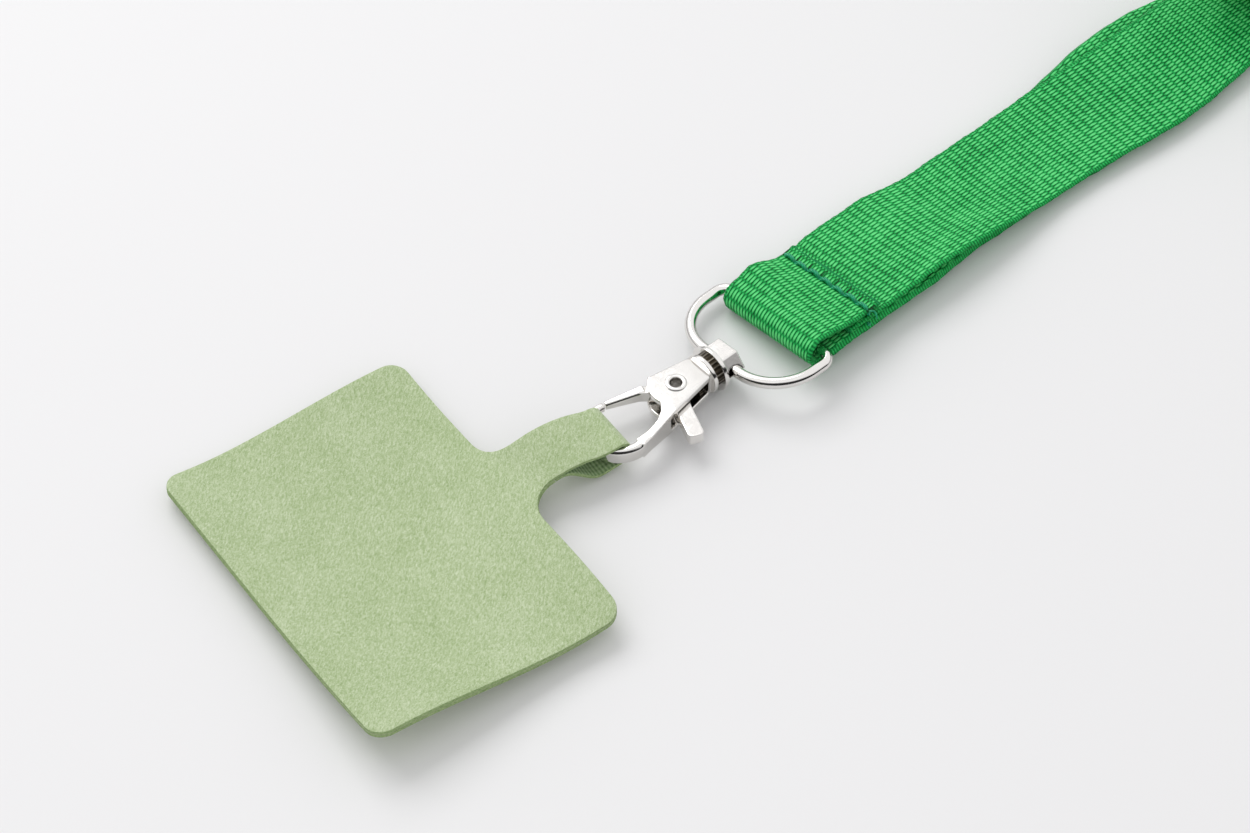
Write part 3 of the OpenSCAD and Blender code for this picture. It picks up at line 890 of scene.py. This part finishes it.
def web_sections(line, layer, wound, stations):
    """The webbing's surface: one ring of points for each station, and their lattice values."""
    run = line_length(line)

    def at_stations(values):
        return np.interp(stations, run, values)[:, None]

    values, wide, height = web_profile(stations)
    x = at_stations(line[:, 0])
    ahead = directions(line)
    dx, dz = at_stations(ahead[:, 0]), at_stations(ahead[:, 1])
    norm = np.hypot(dx, dz)
    at_x = x + height * (dz / norm)
    at_z = at_stations(line[:, 1]) + height * (-dx / norm)
    on_leg = 1 - at_stations(wound)
    wide, at_z = strayed(x, at_z, wide, values, at_stations(layer), on_leg)
    roll = roll_at(x) * on_leg
    c, q = np.cos(roll), np.sin(roll)
    h = at_z - AXIS_Z
    at_y = wide * c - h * q - FAR_DRIFT * far(x) * on_leg
    return np.stack([at_x, at_y, AXIS_Z + wide * q + h * c], -1), values


def strap_webbing(webbing, sealed):
    line, layer, wound = strap_line(turns_for(STRAP_LENGTH))
    stations = strap_stations(line_length(line))
    points, values = web_sections(line, layer, wound, stations)
    rows, columns = points.shape[:2]
    # The cut end is ragged
    points[0, :, 0] += 0.25 * ripple(values[0, :, 1] * 3, 0, 5)
    faces = grid_faces(rows, columns, False, True)
    faces.append(tuple(range(columns)))
    last = (rows - 1) * columns
    faces.append(tuple(range(last + columns - 1, last - 1, -1)))
    index = np.zeros(len(faces), int)
    index[:columns] = 1
    index[-2:] = 1
    piece = make_piece("strap_webbing", from_hook(points.reshape(-1, 3)), faces, [webbing, sealed], index)
    set_lattice(piece, values.reshape(-1, 3))
    face_outwards(piece)
    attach(piece, "strap")
    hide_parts("strap_lower_leg", "strap_upper_leg", "strap_roll")


# Stitches

def plied(path, radius, plies, twist):
    """Twisted plies round a path. twist is the length of one turn."""
    path = np.asarray(path, float)
    u, v = carried_frames(path)
    run = line_length(path)
    parts = []
    for k in range(plies):
        angle = 2 * math.pi * (run / twist + k / plies)
        offset = radius * 0.52 * (np.cos(angle)[:, None] * u + np.sin(angle)[:, None] * v)
        parts.append(tube(path + offset, radius * 0.56, 8))
    return parts


def stitch_row(face_z, side, bow):
    """Stitches across the strap, each an arc of thread from hole to hole. side is 1 above and -1 below."""
    parts = []
    first = -STITCHES * STITCH / 2
    k = np.linspace(0, 1, 26)
    for i in range(STITCHES):
        arch = np.sin(math.pi * k) ** 0.55
        y = first + STITCH * (i + k)
        x = STITCH_X + 0.10 * math.sin(2.1 * i) + bow * np.sin(math.pi * k)
        z = face_z + side * (-HOLE_DEPTH + (HOLE_DEPTH + STITCH_RISE) * arch)
        parts += plied(np.stack([x, y, z], -1), THREAD_R, 3, THREAD_TWIST)
    return parts


def stitches(name, node, parts, material):
    points, faces, values = joined(parts)
    piece = make_piece(name, from_ring(points - [0, 0, AXIS_Z]), faces, [material])
    set_lattice(piece, values)
    face_outwards(piece)
    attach(piece, "strap")
    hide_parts(node)


def needle_and_bobbin(material):
    """The rows above and below the strap. The needle thread's cut end hangs loose beside its last stitch."""
    top = float(tail_z(STITCH_X)) + STRAP_T / 2
    bottom = float(lower_z(STITCH_X)) - STRAP_T / 2
    k = np.linspace(0, 1, 20)
    end_y = -STITCHES * STITCH / 2
    loose = np.stack([STITCH_X + 0.3 * k + 0.4 * np.sin(3 * k), end_y - 1.5 * k,
                      top - 0.4 + 0.3 * np.sin(math.pi * k) - 0.8 * k ** 2], -1)
    needle = stitch_row(top, 1, 0.12) + plied(loose, 0.15, 3, 1.5)
    stitches("needle_stitches", "needle_thread", needle, material)
    stitches("bobbin_stitches", "bobbin_thread", stitch_row(bottom + STITCH_RISE, -1, 0), material)


# Ring, swivel and hook

def ring_path():
    """The D-ring's middle line in the ring's frame, as one closed run of arcs and straights."""
    side, front = node_size("d_ring", 1) / 2 / math.cos(RING_ROLL) - WIRE_R, 3.6
    big, small = 8.2, 2.0
    corners = [(BAR_X - small, side - small, small, 0), (front + big, side - big, big, 90),
               (front + big, big - side, big, 180), (BAR_X - small, small - side, small, 270)]
    path = []
    for x, y, radius, start in corners:
        for a in np.radians(np.linspace(start, start + 90, 22)):
            path.append((x + radius * math.cos(a), y + radius * math.sin(a), 0))
    dense = []
    for a, b in zip(path, path[1:] + path[:1]):
        a, b = np.array(a), np.array(b)
        steps = max(1, int(np.linalg.norm(b - a) / 0.9))
        dense += [a + (b - a) * k / steps for k in range(steps)]
    return np.array(dense)


def d_ring(material):
    points, faces = tube(ring_path(), WIRE_R, 28, closed=True)[:2]
    piece = make_piece("ring_wire", from_ring(points), faces, [material])
    face_outwards(piece)
    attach(piece, "ring")
    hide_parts("d_ring")


def polished_copy(name, node, body, voxel, smoothing, material, nearer=0.0):
    """A node's shape as a casting. nearer is how far its end at the collar reaches out towards the hook."""
    points, faces = node_shell(node)
    points = np.array(points, float)
    points[:, 0] -= nearer * (1 - between(points[:, 0] - SWIVEL[0], *BARREL_FADE_X))
    piece = cast_piece(name, points, faces, voxel, smoothing, material)
    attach(piece, body)
    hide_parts(node)


def lathe(profile, segments):
    """Points and faces of a closed (radius, height) outline turned about Z."""
    angle = np.arange(segments) * 2 * math.pi / segments
    profile = np.asarray(profile, float)
    radius, height = profile[:, 0], profile[:, 1]
    points = np.stack([np.cos(angle)[:, None] * radius, np.sin(angle)[:, None] * radius,
                       np.broadcast_to(height, (segments, len(profile)))], -1)
    return points.reshape(-1, 3), grid_faces(segments, len(profile), True, True)


def rivet(material):
    """Tubular rivet: each end is rolled over into a rounded flange."""
    flange = node_size("gate_rivet", 2) / 2 - 0.25
    bore, shank, rim = 0.95, 1.33, 1.75
    middle, swell = (bore + rim) / 2, (rim - bore) / 2
    roll = np.radians(np.linspace(0, 180, 10))
    upper = [(shank, flange)] + [(middle + swell * math.cos(a), flange + 0.27 * math.sin(a)) for a in roll]
    profile = upper + [(r, -z) for r, z in reversed(upper)]
    points, faces = lathe(profile, 64)
    points = from_hook(points + [-RIVET_X, 0, AXIS_Z])
    piece = make_piece("rolled_rivet", points, faces, [material])
    face_outwards(piece)
    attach(piece, "hook")
    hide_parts("gate_rivet")


# Suede patch and tab

def bernstein(t):
    return np.stack([(1 - t) ** 3, 3 * t * (1 - t) ** 2, 3 * t ** 2 * (1 - t), t ** 3], -1)


def patch_lift(x, y):
    """How far the curled patch is off the surface, in the tab's frame."""
    u = np.asarray((x + TAB_REACH + PATCH_L) / PATCH_L)
    v = np.clip(np.asarray(y / PATCH_W + 0.5), 0, 1)
    return np.einsum("...i,ij,...j->...", bernstein(u), CURL, bernstein(v))


def tab_top(x):
    """Height of the tab's upper face: it rises from the patch's edge, and comes down a little at the fold."""
    rise = np.sin(math.pi / 2 * np.clip((x + TAB_REACH) / (TAB_REACH - 9), 0, 1))
    root = PATCH_T + patch_lift(-TAB_REACH, 0.0)
    return mix(root, TAB_TOP, rise) + (AXIS_Z + FOLD_R - TAB_TOP) * between(x, -9, FOLD_X)


def tab_under(x):
    """Height of the loop's lower face: level at the fold, and then up to the layers at the tab's root."""
    return mix(AXIS_Z - FOLD_R, tab_top(x) - PATCH_T, between(x, -6, -13))


def front_height(x, y):
    """Height of the front ply's middle, over the patch and the tab's root."""
    patch = PATCH_T - PLY / 2 + patch_lift(x, y)
    return mix(patch, tab_top(x) - PLY / 2, between(x, -TAB_REACH, -TAB_REACH + 5))


def drifted(points):
    """The tab's sideways drift and its slight twist, put on points in the tab's frame."""
    points = np.array(points, float)
    x = points[:, 0]
    twist = bump_between(x, (-TAB_REACH, -13), (-7, -2))
    points[:, 2] += TAB_TWIST * points[:, 1] * twist
    points[:, 1] += TAB_DRIFT * (1 - between(x, -TAB_REACH, -3))
    return points


def row_at(x, wide, root):
    """One row of the patch's plan: fixed places across the tab's root, and the rest spread to the edge."""
    inner = np.linspace(-root, root, 15)
    outer = np.linspace(root, wide, 19)[1:]
    return [(x, y) for y in np.concatenate([-outer[::-1], inner, outer])]


def patch_grid(extra_rows):
    """Points (x, y) of the patch's plan, row by row along X, then of the tab's root. The rows have the same
    count, and their middle points keep to the tab's width, so the tab grows out of the patch with no seam."""
    half, left, right = PATCH_W / 2, -TAB_REACH - PATCH_L, -TAB_REACH
    rise = PATCH_R * (1 - np.cos(np.radians(np.linspace(0, 90, 9))))
    straight = np.linspace(left + PATCH_R, right - PATCH_R, 34)
    xs = np.concatenate([left + rise[:-1], straight, right - rise[::-1][1:]])
    rows = []
    for x in xs:
        reach = max(0.0, left + PATCH_R - x, x - right + PATCH_R)
        wide = half - PATCH_R + math.sqrt(max(0.0, PATCH_R ** 2 - reach ** 2))
        rows.append(row_at(x, wide, TAB_W / 2 + NECK_R))
    inner = np.linspace(-1, 1, 15)
    tab = []
    for a in np.radians(np.linspace(0, 90, 10))[1:]:
        wide = TAB_W / 2 + NECK_R * (1 - math.sin(a))
        tab.append([(right + NECK_R * (1 - math.cos(a)), y) for y in inner * wide])
    for x in extra_rows:
        tab.append([(x, y) for y in inner * TAB_W / 2])
    return np.array(rows), np.array(tab)


def rim_of(faces):
    """The directed boundary edges of a sheet of faces."""
    edges = set()
    for face in faces:
        for a, b in zip(face, face[1:] + face[:1]):
            edges.add((a, b))
    return [(a, b) for a, b in edges if (b, a) not in edges]


def slab(points, faces, thickness):
    """A sheet's middle surface as a closed slab: points of both faces, and its top, bottom and rim faces."""
    points = np.asarray(points, float)
    normal = np.zeros_like(points)
    for face in faces:
        a, b, c, d = (points[i] for i in face)
        n = np.cross(c - a, d - b)
        for i in face:
            normal[i] += n
    normal /= np.linalg.norm(normal, axis=1, keepdims=True)
    count = len(points)
    both = np.concatenate([points + normal * thickness / 2, points - normal * thickness / 2])
    top = list(faces)
    bottom = [tuple(i + count for i in reversed(face)) for face in faces]
    rim = [(b, a, a + count, b + count) for a, b in rim_of(faces)]
    return both, top, bottom, rim


def sheet_piece(name, points, faces, thickness, materials):
    """A cut sheet: suede on its face, backing on its reverse and matted fibres on its cut edge."""
    both, top, bottom, rim = slab(points, faces, thickness)
    index = [0] * len(top) + [1] * len(bottom) + [2] * len(rim)
    piece = make_piece(name, from_tab(drifted(both)), top + bottom + rim, materials, index)
    soften = piece.modifiers.new("soften", "BEVEL")
    soften.width = 0.12 * MM
    soften.segments = 2
    soften.limit_method = "ANGLE"
    soften.angle_limit = math.radians(50)
    with_modifiers_applied(piece)
    face_outwards(piece)
    return piece


def tee(rows, heights, tab_points):
    """One sheet from the patch's rows and the tab's points."""
    flat = rows.reshape(-1, 2)
    patch_points = np.column_stack([flat, heights(flat[:, 0], flat[:, 1])])
    columns = rows.shape[1]
    faces = grid_faces(len(rows), columns)
    faces = [tuple(reversed(face)) for face in faces]
    inner = tab_points.shape[1]
    skip = (columns - inner) // 2
    first = len(patch_points)
    faces += [tuple(reversed(face)) for face in grid_faces(len(tab_points), inner, first=first)]
    edge = (len(rows) - 1) * columns + skip
    for j in range(inner - 1):
        faces.append((edge + j, first + j, first + j + 1, edge + j + 1))
    return np.concatenate([patch_points, tab_points.reshape(-1, 3)]), faces


def tab_line():
    """The suede strip's middle line from the tab's root over the bow and back under it, as (x, z)."""
    over_x = np.linspace(-TAB_REACH + NECK_R, FOLD_X, 30)[1:]
    over = np.stack([over_x, tab_top(over_x) - PLY / 2], -1)
    angle = np.radians(np.linspace(90, -90, 19))[1:-1]
    radius = FOLD_R - PLY / 2
    fold = np.stack([FOLD_X + radius * np.cos(angle), AXIS_Z + radius * np.sin(angle)], -1)
    back_x = np.linspace(FOLD_X, FLEX_X - 0.3, 30)
    back = np.stack([back_x, tab_under(back_x) + PLY / 2], -1)
    return np.concatenate([over, fold, back])


def blend_at_root(piece):
    """Works out a span a few millimetres on each side of the flex line, but only bakes the piece's placement
    into its mesh.
    """
    start, end = from_tab([(FLEX_X + 3.6, 0, 0), (FLEX_X - 3.4, 0, 0)]) * MM
    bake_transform(piece)


def front_suede(materials):
    rows, tab = patch_grid([])
    line = tab_line()
    inner = np.linspace(-1, 1, tab.shape[1]) * TAB_W / 2
    root = np.dstack([tab, front_height(tab[..., 0], tab[..., 1])])
    size = (len(line), len(inner))
    strip = np.stack([np.broadcast_to(line[:, 0:1], size), np.broadcast_to(inner, size),
                      np.broadcast_to(line[:, 1:2], size)], -1)
    points, faces = tee(rows, front_height, np.concatenate([root, strip]))
    piece = sheet_piece("front_suede", points, faces, PLY, materials)
    blend_at_root(piece)
    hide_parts("front_ply", "tab_loop")
    strip_length = float(line_length(line)[-1]) + NECK_R


def lower_sheet(name, node, depth, thickness, materials):
    """A layer under the front one, with the same outline, that ends at the tab's root. depth is how far its
    middle is below the front ply's middle."""
    end = FLEX_X - 0.5
    rows, tab = patch_grid([end])

    def height(x, y):
        return front_height(x, y) - depth

    points, faces = tee(rows, height, np.dstack([tab, height(tab[..., 0], tab[..., 1])]))
    piece = sheet_piece(name, points, faces, thickness, materials)
    blend_at_root(piece)
    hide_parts(node)


add_camera()
add_floor()
add_light()

nickel = nickel_material()
strap_webbing(webbing_material(), sealed_material())
needle_and_bobbin(thread_material())
d_ring(nickel)
polished_copy("swivel_barrel", "swivel_block", "ring", 0.09, 9, nickel, nearer=0.8)
polished_copy("cast_hook", "hook_body", "hook", 0.10, 12, nickel)
polished_copy("gate_arm", "gate", "gate", 0.07, 12, nickel)
rivet(nickel)
for node, material in (("swivel_stud", stud_painted_shade_material()), ("gate_spring", spring_material())):
    frame["nodes"][node].data.materials.clear()
    frame["nodes"][node].data.materials.append(material)

suede, backing, cut_edge = suede_material(), backing_material(), edge_material()
front_suede([suede, backing, cut_edge])
lower_sheet("back_suede", "back_ply", PLY + FILM, PLY, [backing, suede, cut_edge])
film = film_material()
lower_sheet("bond_film", "adhesive_film", (PLY + FILM) / 2, FILM, [film, film, film])
